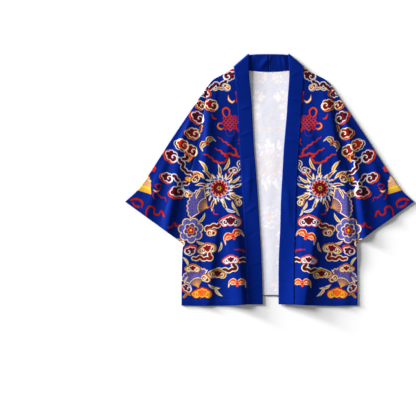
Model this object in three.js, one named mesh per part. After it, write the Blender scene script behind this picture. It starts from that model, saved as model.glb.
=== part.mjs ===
import * as THREE from "three";

// A kimono cardigan laid flat, face up. The back lies on the floor with the sleeves beside it.
// The fronts and the neckband lie on the back, and each sleeve's underarm edge is tucked in
// between back and front. Millimetres, +Z up, origin on the floor under the middle.

// Cloth: a wall of woven polyester, a doubled wall for the band, and the clearance at seams
const CLOTH = 1.2;
const BAND_CLOTH = 2 * CLOTH;
const SEAM_GAP = 0.3;

// Main sizes of the garment
const HEM_Y = -377;
const HEM_DIP = 3;
const BACK_HEM_RISE = 28;
const SHOULDER = { x: 183.5, y: 283 };
const ARMHOLE_TOP_Y = 276;
const CUFF_TUCK = { x: 240, y: -206 };
const SLEEVE_FOLD_RADIUS = 1.8;
const BAND_FOLD_RADIUS = 4.2;
const COLLAR_TOP_Y = 376;
const COLLAR_DIP = 1.5;
const COLLAR_HALF = 58.4;
const NECK_X = -2.7;
const NECK_Y = 323.3;
const NECK_RISE = 11.7;
const NECK_HALF = 103.6;
const NECK_CORNER_CUT = 1.4;

// Where the layers lie above the floor, and the room between a sleeve's two layers
const ON_BACK = CLOTH + SEAM_GAP;
const SEAM_SLACK = 0.4;
const OPEN_SLACK = 0.9;
const FOLD_SLACK = 2 * SLEEVE_FOLD_RADIUS - 2 * CLOTH;
const SIDE_LIFT = 2 * CLOTH + SEAM_SLACK + 2 * SEAM_GAP;
const NECK_LIFT = 2 * BAND_FOLD_RADIUS - BAND_CLOTH - ON_BACK;

// Where a front lifts over the tucked sleeve, down the side and inwards from it
const LIFT = { startY: 48, fullY: 2, lastY: -218, endY: -285, fullInside: 30, endInside: 62 };

// Where band and fronts rise to the fold at the neck: up the band, out from its seam, and down
// again to the shoulder seam
const NECK_RISING = { startY: 196, fullY: 352, outX: 172, seamX: 104, shoulder: 24 };

// Share of the band's front run over which its sections turn level
const BAND_SLANT_END = 0.12;

// Where a sleeve's underarm edge climbs onto the back and goes in under the front
const TUCK = { climbY: 20, onBackY: -20, startY: -22, fullY: -130, leastStrip: 4, ramp: 12,
  mostShare: 0.3, sideGap: 0.45 };

// How far from its seams and its top fold a sleeve's layers part
const PARTING = { seam: 30, fold: 25 };

// Outer edge of the body, from the hem up to the shoulder point
const SIDE_EDGE = [
  { y: -378, x: 264 },
  { y: -300, x: 263.6 },
  { y: -193, x: 260 },
  { y: -90, x: 250.5 },
  { y: 5, x: 239.5 },
  { y: 90, x: 220.5 },
  { y: 173, x: 202.5 },
  { y: 283, x: 183.5 },
];

// Shoulder seam, from the neckband out to the shoulder point
const SHOULDER_EDGE = [
  { x: 103, y: 335.4 },
  { x: 144, y: 312.5 },
  { x: 168, y: 299.5 },
  { x: 184, y: 282.6 },
];

// Top fold of a sleeve, from the shoulder point to the tip of the cuff
const SLEEVE_TOP = [
  { along: 0, x: 185.4, y: 281.6 },
  { along: 0.17, x: 222, y: 228 },
  { along: 0.47, x: 295.5, y: 119 },
  { along: 0.6, x: 325.5, y: 72 },
  { along: 0.77, x: 364.5, y: 12 },
  { along: 0.9, x: 397, y: -33 },
  { along: 1, x: 433, y: -66 },
];

// Free edge and sewn edge of the neckband where it runs down the two fronts
const BAND_EDGES = [
  { y: -378, leftFree: -19.5, leftSewn: -66, rightFree: 26.7, rightSewn: 73.5 },
  { y: -240, leftFree: -24, leftSewn: -71.5, rightFree: 27.3, rightSewn: 74.5 },
  { y: -150, leftFree: -29, leftSewn: -76, rightFree: 31.5, rightSewn: 78 },
  { y: -60, leftFree: -34.5, leftSewn: -80, rightFree: 34, rightSewn: 80 },
  { y: 30, leftFree: -41, leftSewn: -86, rightFree: 39, rightSewn: 84.5 },
  { y: 100, leftFree: -46.8, leftSewn: -91, rightFree: 43, rightSewn: 88.5 },
  { y: 190, leftFree: -51.5, leftSewn: -94.5, rightFree: 50.8, rightSewn: 94.7 },
  { y: 240, leftFree: -54.2, leftSewn: -97.8, rightFree: 54, rightSewn: 98 },
  { y: 310, leftFree: -61, leftSewn: -104.6, rightFree: 58.6, rightSewn: 101.6 },
  { y: 336, leftFree: -61.6, leftSewn: -106.3, rightFree: 58.2, rightSewn: 100.9 },
  { y: 378, leftFree: -61.1, leftSewn: -106.3, rightFree: 55.7, rightSewn: 100.9 },
];

// Largest folds of the fronts and the band: soft ridges from one place to another
const BODY_RIDGES = [
  { fromX: 172, fromY: 20, toX: 62, toY: -600, width: 26, height: 6.4 },
  { fromX: 176, fromY: 290, toX: 200, toY: -60, width: 15, height: 4.2 },
  { fromX: 230, fromY: -236, toX: 218, toY: -500, width: 20, height: 2.4 },
  { fromX: 104, fromY: 190, toX: 152, toY: 40, width: 17, height: 1.8 },
  { fromX: 50, fromY: -10, toX: 62, toY: -150, width: 11, height: 1.5 },
  { fromX: -116, fromY: 10, toX: -60, toY: -590, width: 22, height: 5.4 },
  { fromX: -178, fromY: 290, toX: -199, toY: -50, width: 16, height: 3.9 },
  { fromX: -150, fromY: -60, toX: -198, toY: -470, width: 21, height: 3.2 },
  { fromX: -100, fromY: 160, toX: -152, toY: 20, width: 16, height: 2 },
  { fromX: -58, fromY: 60, toX: -64, toY: -80, width: 10, height: 1.4 },
];

// Largest folds of the sleeves, which raise their upper layers
const SLEEVE_RIDGES = [
  { fromX: 262, fromY: 120, toX: 336, toY: -300, width: 14, height: 2.8 },
  { fromX: 222, fromY: 248, toX: 280, toY: 40, width: 12, height: 1.6 },
  { fromX: 352, fromY: 20, toX: 400, toY: -150, width: 22, height: 1.5 },
  { fromX: -258, fromY: 130, toX: -332, toY: -310, width: 14, height: 2.7 },
  { fromX: -218, fromY: 256, toX: -284, toY: 52, width: 13, height: 1.7 },
  { fromX: -346, fromY: 30, toX: -396, toY: -146, width: 20, height: 1.6 },
];

// How finely the pieces are divided
const BACK_ROWS = 11;
const BACK_COLUMNS = [-1, -0.9, -0.8, -0.69, -0.5793, -0.46, -0.3, -0.15, -0.0147,
  0.13, 0.28, 0.43, 0.5499, 0.68, 0.8, 0.9, 1];
const FRONT_ROWS = 28;
const FRONT_COLUMNS = [0, 0.1, 0.2, 0.31, 0.42, 0.53, 0.64, 0.74, 0.82, 0.88, 0.94, 1];
const SLEEVE_ROWS = 18;
const SLEEVE_STEPS = 8;
const SLEEVE_TURNS = [-45, 0, 45];
const BAND_TURNS = [-90, -54, -18, 18, 54, 90];
const BAND_BACK_STEPS = 5;
const BAND_FRONT_STEPS = 30;
const BAND_COLUMNS = 4;
const HALVINGS = 30;
const SHORT_RUN = 0.01;

const { clamp, degToRad, lerp } = THREE.MathUtils;

// Eases from 0 at the start to 1 at the end, up or down the scale
function ease(start, end, at) {
  const share = clamp((at - start) / (end - start), 0, 1);
  return share * share * (3 - 2 * share);
}

// Reads one column of a table between its rows, with no kink from row to row
function readTable(rows, by, column, at) {
  const last = rows.length - 1;
  let i = 0;
  while (i < last - 1 && at > rows[i + 1][by]) i += 1;
  const slopeAt = (k) => {
    const before = rows[Math.max(k - 1, 0)];
    const after = rows[Math.min(k + 1, last)];
    return (after[column] - before[column]) / (after[by] - before[by]);
  };
  const step = rows[i + 1][by] - rows[i][by];
  const t = clamp((at - rows[i][by]) / step, 0, 1);
  const bend = rows[i + 1][column] - rows[i][column];
  const start = slopeAt(i) * step - bend;
  const end = bend - slopeAt(i + 1) * step;
  return rows[i][column] + bend * t + t * (1 - t) * (start * (1 - t) + end * t);
}

// Height that a table of ridges adds at a place; a ridge is full at its middle
function ridgeHeight(ridges, x, y) {
  let height = 0;
  for (const ridge of ridges) {
    const run = new THREE.Vector2(ridge.toX - ridge.fromX, ridge.toY - ridge.fromY);
    const reach = new THREE.Vector2(x - ridge.fromX, y - ridge.fromY);
    const share = clamp(reach.dot(run) / run.lengthSq(), 0, 1);
    const off = reach.addScaledVector(run, -share).length();
    const fade = Math.sin(Math.PI * share);
    height += ridge.height * fade * Math.exp(-((off / ridge.width) ** 2));
  }
  return height;
}

const sideEdgeX = (y) => readTable(SIDE_EDGE, "y", "x", y);

const neckLift = (y) => NECK_LIFT * ease(NECK_RISING.startY, NECK_RISING.fullY, y);

// Height at which the band lies: on the back, rising to the fold at the neck
function bandFloor(x, y) {
  return ON_BACK + neckLift(y) + ridgeHeight(BODY_RIDGES, x, y);
}

// Height at which a front lies: on the back, up to the band's rise, and over the tucked sleeve
function frontFloor(x, y) {
  const out = Math.abs(x);
  const down = ease(LIFT.startY, LIFT.fullY, y) * ease(LIFT.endY, LIFT.lastY, y);
  const overSleeve = SIDE_LIFT * down * ease(LIFT.endInside, LIFT.fullInside, sideEdgeX(y) - out);
  const belowSeam = readTable(SHOULDER_EDGE, "x", "y", out) - y;
  const atBand = ease(NECK_RISING.outX, NECK_RISING.seamX, out);
  const neck = neckLift(y) * atBand * ease(0, NECK_RISING.shoulder, belowSeam);
  return ON_BACK + overSleeve + neck + ridgeHeight(BODY_RIDGES, x, y);
}

// Closed solid between two grids of points that lie one wall apart
function wallBetween(under, over) {
  const rows = under.length;
  const columns = under[0].length;
  const positions = [];
  for (const grid of [under, over]) {
    for (const row of grid) {
      for (const point of row) positions.push(point.x, point.y, point.z);
    }
  }
  const low = (i, j) => i * columns + j;
  const high = (i, j) => rows * columns + i * columns + j;
  const triangles = [];
  const quad = (a, b, c, d) => triangles.push(a, b, c, a, c, d);
  for (let i = 0; i < rows - 1; i += 1) {
    for (let j = 0; j < columns - 1; j += 1) {
      quad(low(i, j), low(i + 1, j), low(i + 1, j + 1), low(i, j + 1));
      quad(high(i, j), high(i, j + 1), high(i + 1, j + 1), high(i + 1, j));
    }
    quad(low(i, 0), high(i, 0), high(i + 1, 0), low(i + 1, 0));
    quad(low(i, columns - 1), low(i + 1, columns - 1), high(i + 1, columns - 1),
      high(i, columns - 1));
  }
  for (let j = 0; j < columns - 1; j += 1) {
    quad(low(0, j), low(0, j + 1), high(0, j + 1), high(0, j));
    quad(low(rows - 1, j), high(rows - 1, j), high(rows - 1, j + 1), low(rows - 1, j + 1));
  }
  const geometry = new THREE.BufferGeometry();
  geometry.setAttribute("position", new THREE.Float32BufferAttribute(positions, 3));
  geometry.setIndex(solidVolume(positions, triangles) > 0 ? triangles : triangles.reverse());
  geometry.computeVertexNormals();
  return geometry;
}

// Volume inside a closed set of triangles, negative where they face inwards
function solidVolume(positions, triangles) {
  const corner = (k) => new THREE.Vector3().fromArray(positions, 3 * triangles[k]);
  let sixfold = 0;
  for (let k = 0; k < triangles.length; k += 3) {
    sixfold += corner(k).dot(corner(k + 1).cross(corner(k + 2)));
  }
  return sixfold / 6;
}

// Wall that stands one thickness above the points of a grid
function wallAbove(under, thickness) {
  const raise = (point) => point.clone().add(new THREE.Vector3(0, 0, thickness));
  return wallBetween(under, under.map((row) => row.map(raise)));
}

// Back neckline, where the band is sewn on
function necklineY(x) {
  return NECK_Y + NECK_RISE * ((x - NECK_X) / NECK_HALF) ** 2;
}

// Back: one panel from shoulder to hem, flat on the floor, its hem a little higher at the middle
function backGeometry() {
  const under = [];
  for (let i = 0; i <= BACK_ROWS; i += 1) {
    const down = i / BACK_ROWS;
    const sideX = sideEdgeX(lerp(SHOULDER.y, HEM_Y, down));
    const row = BACK_COLUMNS.map((column) => {
      const topX = column * SHOULDER.x;
      const onNeck = Math.abs(topX - NECK_X) < NECK_HALF + SEAM_GAP;
      const shoulderY = readTable(SHOULDER_EDGE, "x", "y", Math.abs(topX));
      const topY = onNeck ? necklineY(topX) - SEAM_GAP : shoulderY;
      const hemY = HEM_Y + BACK_HEM_RISE * (1 - column ** 2) ** 2;
      return new THREE.Vector3(column * sideX, lerp(topY, hemY, down), 0);
    });
    under.push(row);
  }
  return wallAbove(under, CLOTH);
}

// Front: from the band's seam to the side, from the shoulder to the hem, over the back
function frontGeometry(side) {
  const sewn = side > 0 ? "rightSewn" : "leftSewn";
  const neckTopY = SHOULDER_EDGE[0].y - NECK_CORNER_CUT;
  const under = [];
  for (let i = 0; i <= FRONT_ROWS; i += 1) {
    const down = i / FRONT_ROWS;
    const innerY = lerp(neckTopY, HEM_Y + HEM_DIP, down);
    const innerX = side * readTable(BAND_EDGES, "y", sewn, innerY) + SEAM_GAP;
    const outerY = lerp(SHOULDER.y, HEM_Y, down);
    const outerX = sideEdgeX(outerY);
    const row = FRONT_COLUMNS.map((across) => {
      const chordY = lerp(neckTopY, SHOULDER.y, across);
      const topX = lerp(SHOULDER_EDGE[0].x, SHOULDER.x, across);
      const bow = readTable(SHOULDER_EDGE, "x", "y", topX) - chordY;
      const dip = HEM_DIP * Math.sin(Math.PI * across) * down;
      const shoulderShare = across > 0 ? (1 - down) ** 3 : 0;
      const x = side * lerp(innerX, outerX, across);
      const y = lerp(innerY, outerY, across) + bow * shoulderShare - dip;
      return new THREE.Vector3(x, y, frontFloor(x, y));
    });
    under.push(row);
  }
  return wallAbove(under, CLOTH);
}

// Underarm edge of a sleeve: along the armhole to the underarm, then in under the front
function sleeveEdge(along) {
  const y = lerp(ARMHOLE_TOP_Y, CUFF_TUCK.y, along);
  const depth = sideEdgeX(CUFF_TUCK.y) - CUFF_TUCK.x;
  const x = sideEdgeX(y) + TUCK.sideGap - depth * ease(TUCK.startY, TUCK.fullY, y);
  return new THREE.Vector2(x, y);
}

// Point of a sleeve's top fold, at a share of the way from shoulder to cuff
function sleeveTop(along) {
  const x = readTable(SLEEVE_TOP, "along", "x", along);
  return new THREE.Vector2(x, readTable(SLEEVE_TOP, "along", "y", along));
}

// Share of the way from top fold to underarm edge at which a sleeve passes under the front
function tuckShare(top, edge) {
  let near = 0;
  let far = 1;
  for (let k = 0; k < HALVINGS; k += 1) {
    const middle = (near + far) / 2;
    const x = lerp(top.x, edge.x, middle);
    const y = lerp(top.y, edge.y, middle);
    if (x > sideEdgeX(y) + SEAM_GAP) near = middle;
    else far = middle;
  }
  return near;
}

// Room between a sleeve's layers at a distance from its underarm edge and from its top fold
function sleeveSlack(side, spot, pastTuck, fromFold) {
  const open = ease(0, PARTING.seam, pastTuck);
  const nearFold = ease(PARTING.fold, 0, fromFold);
  const ridges = ridgeHeight(SLEEVE_RIDGES, side * spot.x, spot.y) * open * (1 - nearFold);
  const flat = lerp(SEAM_SLACK, OPEN_SLACK, open);
  return lerp(flat, FOLD_SLACK, nearFold) + ridges;
}

// Sleeve: one sheet folded along its top, lower layer on the floor, open at cuff and armhole
function sleeveGeometry(side) {
  const outer = [];
  const inner = [];
  for (let i = 0; i <= SLEEVE_ROWS; i += 1) {
    const along = i / SLEEVE_ROWS;
    const ahead = sleeveTop(Math.min(along + SHORT_RUN, 1));
    const run = ahead.sub(sleeveTop(Math.max(along - SHORT_RUN, 0))).normalize();
    const outward = new THREE.Vector2(-run.y, run.x);
    const top = sleeveTop(along).addScaledVector(outward, -SLEEVE_FOLD_RADIUS);
    const edge = sleeveEdge(along);
    const width = top.distanceTo(edge);
    const tucked = Math.max((1 - tuckShare(top, edge)) * width, TUCK.leastStrip);
    const strip = Math.min(tucked, TUCK.mostShare * width);
    const ramp = Math.min(TUCK.ramp, TUCK.mostShare * width);
    const level = ON_BACK * ease(TUCK.climbY, TUCK.onBackY, edge.y);
    const stations = [0, strip / 2, strip];
    for (let k = 0; k <= SLEEVE_STEPS; k += 1) {
      stations.push(strip + lerp(ramp, width - strip, k / SLEEVE_STEPS));
    }
    const layers = stations.map((station) => {
      const spot = edge.clone().lerp(top, station / width);
      const slack = sleeveSlack(side, spot, station - strip, width - station);
      return { spot, floor: station > strip ? 0 : level, slack };
    });
    const outerRow = [];
    const innerRow = [];
    const place = (row, spot, z, push) => {
      const x = side * (spot.x + push * outward.x);
      row.push(new THREE.Vector3(x, spot.y + push * outward.y, z));
    };
    for (const { spot, floor } of layers) {
      place(outerRow, spot, floor, 0);
      place(innerRow, spot, floor + CLOTH, 0);
    }
    for (const turn of SLEEVE_TURNS) {
      const up = Math.sin(degToRad(turn));
      const out = Math.cos(degToRad(turn));
      const reach = SLEEVE_FOLD_RADIUS - CLOTH;
      place(outerRow, top, SLEEVE_FOLD_RADIUS * (1 + up), SLEEVE_FOLD_RADIUS * out);
      place(innerRow, top, SLEEVE_FOLD_RADIUS + reach * up, reach * out);
    }
    for (const { spot, floor, slack } of layers.reverse()) {
      place(outerRow, spot, floor + 2 * CLOTH + slack, 0);
      place(innerRow, spot, floor + CLOTH + slack, 0);
    }
    outer.push(outerRow);
    inner.push(innerRow);
  }
  return wallBetween(outer, inner);
}

// Half of the neckband: from the centre back seam, over the shoulder fold, down one front
function bandGeometry(side) {
  const free = side > 0 ? "rightFree" : "leftFree";
  const sewn = side > 0 ? "rightSewn" : "leftSewn";
  const freeCorner = new THREE.Vector2(NECK_X + side * COLLAR_HALF, COLLAR_TOP_Y - COLLAR_DIP);
  const sewnCorner = new THREE.Vector2(NECK_X + side * NECK_HALF, NECK_Y + NECK_RISE);
  const foldLine = sewnCorner.clone().sub(freeCorner).normalize();
  const outward = new THREE.Vector2(-foldLine.y * side, foldLine.x * side);
  const outer = [];
  const inner = [];
  const addSection = (freePoint, sewnPoint, outerPlace, innerPlace) => {
    for (const [rows, placeOf] of [[outer, outerPlace], [inner, innerPlace]]) {
      const row = [];
      for (let j = 0; j <= BAND_COLUMNS; j += 1) {
        const spot = freePoint.clone().lerp(sewnPoint, j / BAND_COLUMNS);
        const { push, z } = placeOf(spot);
        spot.addScaledVector(outward, push);
        row.push(new THREE.Vector3(spot.x, spot.y, z));
      }
      rows.push(row);
    }
  };
  for (let i = 0; i < BAND_BACK_STEPS; i += 1) {
    const share = i / BAND_BACK_STEPS;
    const startX = NECK_X + side * SEAM_GAP / 2;
    const freeY = COLLAR_TOP_Y - COLLAR_DIP * share ** 2;
    const sewnX = startX + side * NECK_HALF * share;
    addSection(
      new THREE.Vector2(startX + side * COLLAR_HALF * share, freeY),
      new THREE.Vector2(sewnX, necklineY(sewnX)),
      () => ({ push: 0, z: 0 }),
      () => ({ push: 0, z: BAND_CLOTH }),
    );
  }
  for (const turn of BAND_TURNS) {
    const up = Math.sin(degToRad(turn));
    const out = Math.cos(degToRad(turn));
    const onArc = (radius) => () => ({ push: radius * out, z: BAND_FOLD_RADIUS + radius * up });
    addSection(freeCorner, sewnCorner, onArc(BAND_FOLD_RADIUS),
      onArc(BAND_FOLD_RADIUS - BAND_CLOTH));
  }
  for (let i = 1; i <= BAND_FRONT_STEPS; i += 1) {
    const share = i / BAND_FRONT_STEPS;
    const freeY = lerp(freeCorner.y, HEM_Y + HEM_DIP, share);
    const slant = (freeCorner.y - sewnCorner.y) * ease(BAND_SLANT_END, 0, share);
    const sewnY = freeY - slant;
    addSection(
      new THREE.Vector2(readTable(BAND_EDGES, "y", free, freeY), freeY),
      new THREE.Vector2(readTable(BAND_EDGES, "y", sewn, sewnY), sewnY),
      (spot) => ({ push: 0, z: bandFloor(spot.x, spot.y) + BAND_CLOTH }),
      (spot) => ({ push: 0, z: bandFloor(spot.x, spot.y) }),
    );
  }
  return wallBetween(outer, inner);
}

// Finishes: satin-faced polyester, printed for the panels and plain for the band
const printedCloth = () => new THREE.MeshStandardMaterial({
  color: 0x14338f, roughness: 0.55, metalness: 0,
});
const plainCloth = () => new THREE.MeshStandardMaterial({
  color: 0x0a2c86, roughness: 0.5, metalness: 0,
});

function piece(name, geometry, material) {
  const mesh = new THREE.Mesh(geometry, material);
  mesh.name = name;
  return mesh;
}

const body = new THREE.Group();
body.add(
  piece("back", backGeometry(), printedCloth()),
  piece("front_right", frontGeometry(1), printedCloth()),
  piece("front_left", frontGeometry(-1), printedCloth()),
);

const sleeves = new THREE.Group();
sleeves.add(
  piece("sleeve_right", sleeveGeometry(1), printedCloth()),
  piece("sleeve_left", sleeveGeometry(-1), printedCloth()),
);

const neckband = new THREE.Group();
neckband.add(
  piece("neckband_right", bandGeometry(1), plainCloth()),
  piece("neckband_left", bandGeometry(-1), plainCloth()),
);

const cardigan = new THREE.Group();
cardigan.add(body, sleeves, neckband);

export default cardigan;
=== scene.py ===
import bpy
import numpy as np
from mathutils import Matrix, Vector


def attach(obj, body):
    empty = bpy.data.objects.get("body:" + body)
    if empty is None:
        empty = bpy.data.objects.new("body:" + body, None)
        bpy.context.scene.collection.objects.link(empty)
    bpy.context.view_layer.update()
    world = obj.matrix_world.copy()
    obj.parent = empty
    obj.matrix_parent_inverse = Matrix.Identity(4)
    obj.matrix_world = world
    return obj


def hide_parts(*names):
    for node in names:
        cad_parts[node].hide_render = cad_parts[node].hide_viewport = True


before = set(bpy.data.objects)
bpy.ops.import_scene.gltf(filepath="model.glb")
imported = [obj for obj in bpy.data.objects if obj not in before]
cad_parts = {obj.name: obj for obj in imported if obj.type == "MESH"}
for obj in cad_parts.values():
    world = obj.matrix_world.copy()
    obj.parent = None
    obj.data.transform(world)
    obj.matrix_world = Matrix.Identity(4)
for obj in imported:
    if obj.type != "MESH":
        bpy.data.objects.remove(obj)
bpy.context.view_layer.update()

# Back: one wide panel of light woven polyester, printed on its outside and sewn to the rest at
# the shoulders, armholes and sides. It lies face down on the floor, with the fronts and the
# sleeves laid on it and beside it, so that its pale inside shows between the two bands.
CLOTH = 1.2
SHEET = 0.9
SEAM_GAP = 0.3
ON_BACK = CLOTH + SEAM_GAP
SHOULDER_X = 183.5
SHOULDER_Y = 283
HEM_Y = -377
BACK_HEM_RISE = 28
NECK_X = -2.7
NECK_Y = 323.3
NECK_RISE = 11.7
NECK_HALF = 103.6
BACK_ROWS = 296
BACK_COLUMNS = 224
COARSE = 4
SIDE_EDGE = [  # y, x
    (-378, 264), (-300, 263.6), (-193, 260), (-90, 250.5), (5, 239.5), (90, 220.5),
    (173, 202.5), (283, 183.5),
]
SHOULDER_EDGE = [  # x, y
    (103, 335.4), (144, 312.5), (168, 299.5), (184, 282.6),
]
INK_EDGE = 0.9
INKS = {
    "ground": "#021c71", "inside": "#dedee8", "night": "#010c36",
    "maroon": "#4a060c", "wine": "#6c0a10", "red": "#a61c08", "scarlet": "#be2c04",
    "orange": "#d65a16", "gold": "#d0912c", "yellow": "#e2bc34", "cream": "#ecddb2",
    "white": "#d9d6dc", "periwinkle": "#38388a", "lilac": "#8a88be", "pink": "#e0987c",
    "bronze": "#8c5424", "faint": "#4e1a48",
}


def ease(start, end, at):
    """Eases from 0 at the start to 1 at the end, up or down the scale"""
    share = np.clip((at - start) / (end - start), 0, 1)
    return share * share * (3 - 2 * share)


def read_table(rows, at, column=1):
    """Reads one column of a table where the first has a value, with no kinks"""
    table = np.array(rows, float)
    by, value = table[:, 0], table[:, column]
    last = len(by) - 1
    before = np.maximum(np.arange(last + 1) - 1, 0)
    after = np.minimum(np.arange(last + 1) + 1, last)
    slope = (value[after] - value[before]) / (by[after] - by[before])
    i = np.clip(np.searchsorted(by, at) - 1, 0, last - 1)
    step = by[i + 1] - by[i]
    t = np.clip((at - by[i]) / step, 0, 1)
    bend = value[i + 1] - value[i]
    start = slope[i] * step - bend
    end = bend - slope[i + 1] * step
    return value[i] + bend * t + t * (1 - t) * (start * (1 - t) + end * t)


def folds_height(folds, x, y):
    """Height that soft folds add: each runs down from one place to another, full at its middle,
    and falls off over one width on its left and another on its right"""
    height = np.zeros(np.broadcast(x, y).shape)
    for from_x, from_y, to_x, to_y, left, right, rise in folds:
        run = complex(to_x - from_x, to_y - from_y)
        reach = ((x - from_x) + 1j * (y - from_y)) * run.conjugate() / abs(run)
        share = np.clip(reach.real / abs(run), 0, 1)
        off = np.abs(reach - share * abs(run)) / np.where(reach.imag > 0, right, left)
        height += rise * np.sin(np.pi * share) * np.exp(-off ** 2)
    return height


def linear(code):
    """Linear light of an sRGB hex colour"""
    share = np.array([int(code[k:k + 2], 16) for k in (1, 3, 5)]) / 255
    return np.where(share <= 0.04045, share / 12.92, ((share + 0.055) / 1.055) ** 2.4)


def curve(points, steps=7):
    """Smooth line through a few places"""
    p = np.array(points, complex)
    p = np.concatenate([[2 * p[0] - p[1]], p, [2 * p[-1] - p[-2]]])
    t = np.linspace(0, 1, steps, endpoint=False)
    spans = []
    for a, b, c, d in zip(p[:-3], p[1:-2], p[2:-1], p[3:]):
        spans.append(0.5 * (2 * b + (c - a) * t + (2 * a - 5 * b + 4 * c - d) * t ** 2
                            + (3 * b - a - 3 * c + d) * t ** 3))
    return np.append(np.concatenate(spans), p[-2])


def stroke(spots, path, radii):
    """Distance from a line drawn along a path, whose half width changes from end to end"""
    r = np.interp(np.linspace(0, 1, len(path)), np.linspace(0, 1, len(radii)), radii)
    nearest = np.full(spots.shape, np.inf)
    for a, b, start, end in zip(path[:-1], path[1:], r[:-1], r[1:]):
        run = b - a
        share = np.clip(((spots - a) * run.conjugate()).real / abs(run) ** 2, 0, 1)
        nearest = np.minimum(nearest, np.abs(spots - a - share * run) - start
                             - (end - start) * share)
    return nearest


def on_one(spots, count):
    """Turns the points so that all of a ring's petals lie on the one at the right"""
    step = 2 * np.pi / count
    return spots * np.exp(-1j * step * np.round(np.angle(spots) / step))


def petals(spots, count, out, radius):
    """Distance from a ring of round petals"""
    return np.abs(on_one(spots, count) - out) - radius


def wave_rings(spots, radius, line):
    """Distance from the lines of overlapping wave circles, each row in front of the next"""
    rise = radius / 2
    depth = np.full(spots.shape, 9 * radius)
    for lower in (1, 0, -1):
        row = np.floor(spots.imag / rise) + lower
        shift = radius * (row % 2)
        across = (spots.real + shift) / (2 * radius)
        centre = 2 * radius * np.round(across) - shift + 1j * row * rise
        near = np.abs(spots - centre)
        depth = np.where(near < radius, near, depth)
    return np.min([np.abs(depth - share * radius) for share in (1, 0.66, 0.32)], axis=0) - line


class Printing:
    """Inks laid on the points of one panel, each place being a complex number of mm"""

    def __init__(self, x, y):
        self.places = (x + 1j * y).ravel()
        self.colours = np.tile(linear(INKS["ground"]), (self.places.size, 1))
        self.hit = None

    def near(self, at, reach, turn=0):
        """Picks the points round a place, and gives them seen from that place"""
        off = self.places - at
        self.hit = np.flatnonzero((np.abs(off.real) < reach) & (np.abs(off.imag) < reach))
        return off[self.hit] * np.exp(-1j * np.radians(turn))

    def lay(self, distance, *layers, edge=0):
        """Lays inks inside a shape, each from its inset inwards, and dark ink round its edge"""
        outline = [(-edge, "night")] if edge else []
        for inset, ink in outline + list(layers):
            share = np.clip(0.5 - (distance + inset) / INK_EDGE, 0, 1)[:, None]
            there = self.colours[self.hit]
            self.colours[self.hit] = there + share * (linear(INKS[ink]) - there)


CLOUD_INKS = {  # inks of the cap and of the body, each from its inset inwards, and the curl's
    "red": ([(0, "orange"), (0.9, "red")], [(0, "white"), (1.9, "maroon")], "white"),
    "fire": ([(0, "gold"), (1, "scarlet"), (3, "wine")], [(0, "cream"), (1.8, "wine")], "cream"),
    "gold": ([(0, "gold"), (1.2, "red")], [(0, "cream"), (1.8, "wine")], "cream"),
    "white": ([(0, "white"), (1.4, "maroon")], [(0, "cream"), (2, "red")], "cream"),
    "cream": ([(0, "cream"), (1.4, "wine")], [(0, "gold"), (1.6, "maroon")], "cream"),
    "ember": ([(0, "wine"), (1.2, "scarlet")], [(0, "yellow"), (1.9, "orange")], "yellow"),
}
CLOUD_LOBES = {  # x, y and radius of each lobe, as shares of the size
    "head": [(-0.34, -0.1, 0.6), (-0.16, 0.36, 0.46), (0.38, 0.42, 0.42), (0.76, 0.08, 0.38),
             (0.28, -0.14, 0.5), (0.1, 0.1, 0.4)],
    "wide": [(0, 0, 0.32), (-0.56, -0.04, 0.33), (0.56, -0.04, 0.33), (-0.27, 0.18, 0.27),
             (0.29, 0.16, 0.27), (0.01, 0.3, 0.24), (0.84, -0.02, 0.16)],
    "curl": [(-0.1, -0.04, 0.64), (0.5, 0.2, 0.5)],
}


def whorl(middle, first, turned, reach):
    """A line that curls in round its middle"""
    t = np.linspace(0, 1, 20)
    return middle + (reach * (1 - t) ** 0.8 + 0.05) * np.exp(1j * np.radians(first + turned * t))


CLOUD_CURLS = {  # shift of the cap, how far it stands out all round, lines that curl in
    "head": (0.2 - 0.16j, 1.4, [whorl(-0.2 - 0.04j, 236, -290, 0.6)]),
    "wide": (0.05j, 2.6, [whorl(-0.5 + 0j, 288, -330, 0.2), whorl(0.5 + 0j, 250, 340, 0.2)]),
    "curl": (0.1 - 0.1j, 1.6, [whorl(-0.08 - 0.04j, 265, 330, 0.42)]),
}
CURL_LINE = 1.15


def cloud(cloth, at, size, turn=0, inks="red", form="head"):
    """A cloud head: a scalloped body with lines that curl in, and a cap showing behind it"""
    spots = cloth.near(at, 1.5 * size, turn) / size
    shift, stands_out, curls = CLOUD_CURLS[form]
    cap, body, line = CLOUD_INKS[inks]
    for aside, grow, layers, edge in [(shift, 0.03 * size + stands_out, cap, 1.2),
                                      (0, 0, body, 0)]:
        lobes = [np.abs(spots - aside - complex(x, y)) - r for x, y, r in CLOUD_LOBES[form]]
        cloth.lay(size * np.min(lobes, axis=0) - grow, *layers, edge=edge)
    for path in curls:
        cloth.lay(size * stroke(spots, path, [0, 0]) - CURL_LINE, (0, line))


def line_on(cloth, points, radii, layers, wave=0, pitch=13):
    """A drawn line, plain or with small waves along it"""
    path = curve(points)
    run = np.abs(np.diff(path, prepend=path[0])).cumsum()
    along = np.gradient(path)
    path = path + wave * np.sin(2 * np.pi * run / pitch) * 1j * along / np.abs(along)
    middle = path.mean()
    spots = cloth.near(middle, np.abs(path - middle).max() + max(radii) + 2)
    cloth.lay(stroke(spots, path - middle, radii), *layers, edge=1)


STEM_INKS = {
    "red": [(0, "white"), (2, "maroon")],
    "fire": [(0, "cream"), (1.9, "wine")],
    "gold": [(0, "gold"), (1.8, "wine")],
    "white": [(0, "white"), (2, "maroon")],
    "cream": [(0, "cream"), (1.9, "maroon")],
    "ember": [(0, "yellow"), (1.8, "orange")],
}


def stem(cloth, points, inks="red", radii=(6.9, 6.1)):
    """The wavy stem of a cloud"""
    line_on(cloth, points, radii, STEM_INKS[inks], wave=2.2, pitch=21)


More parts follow.
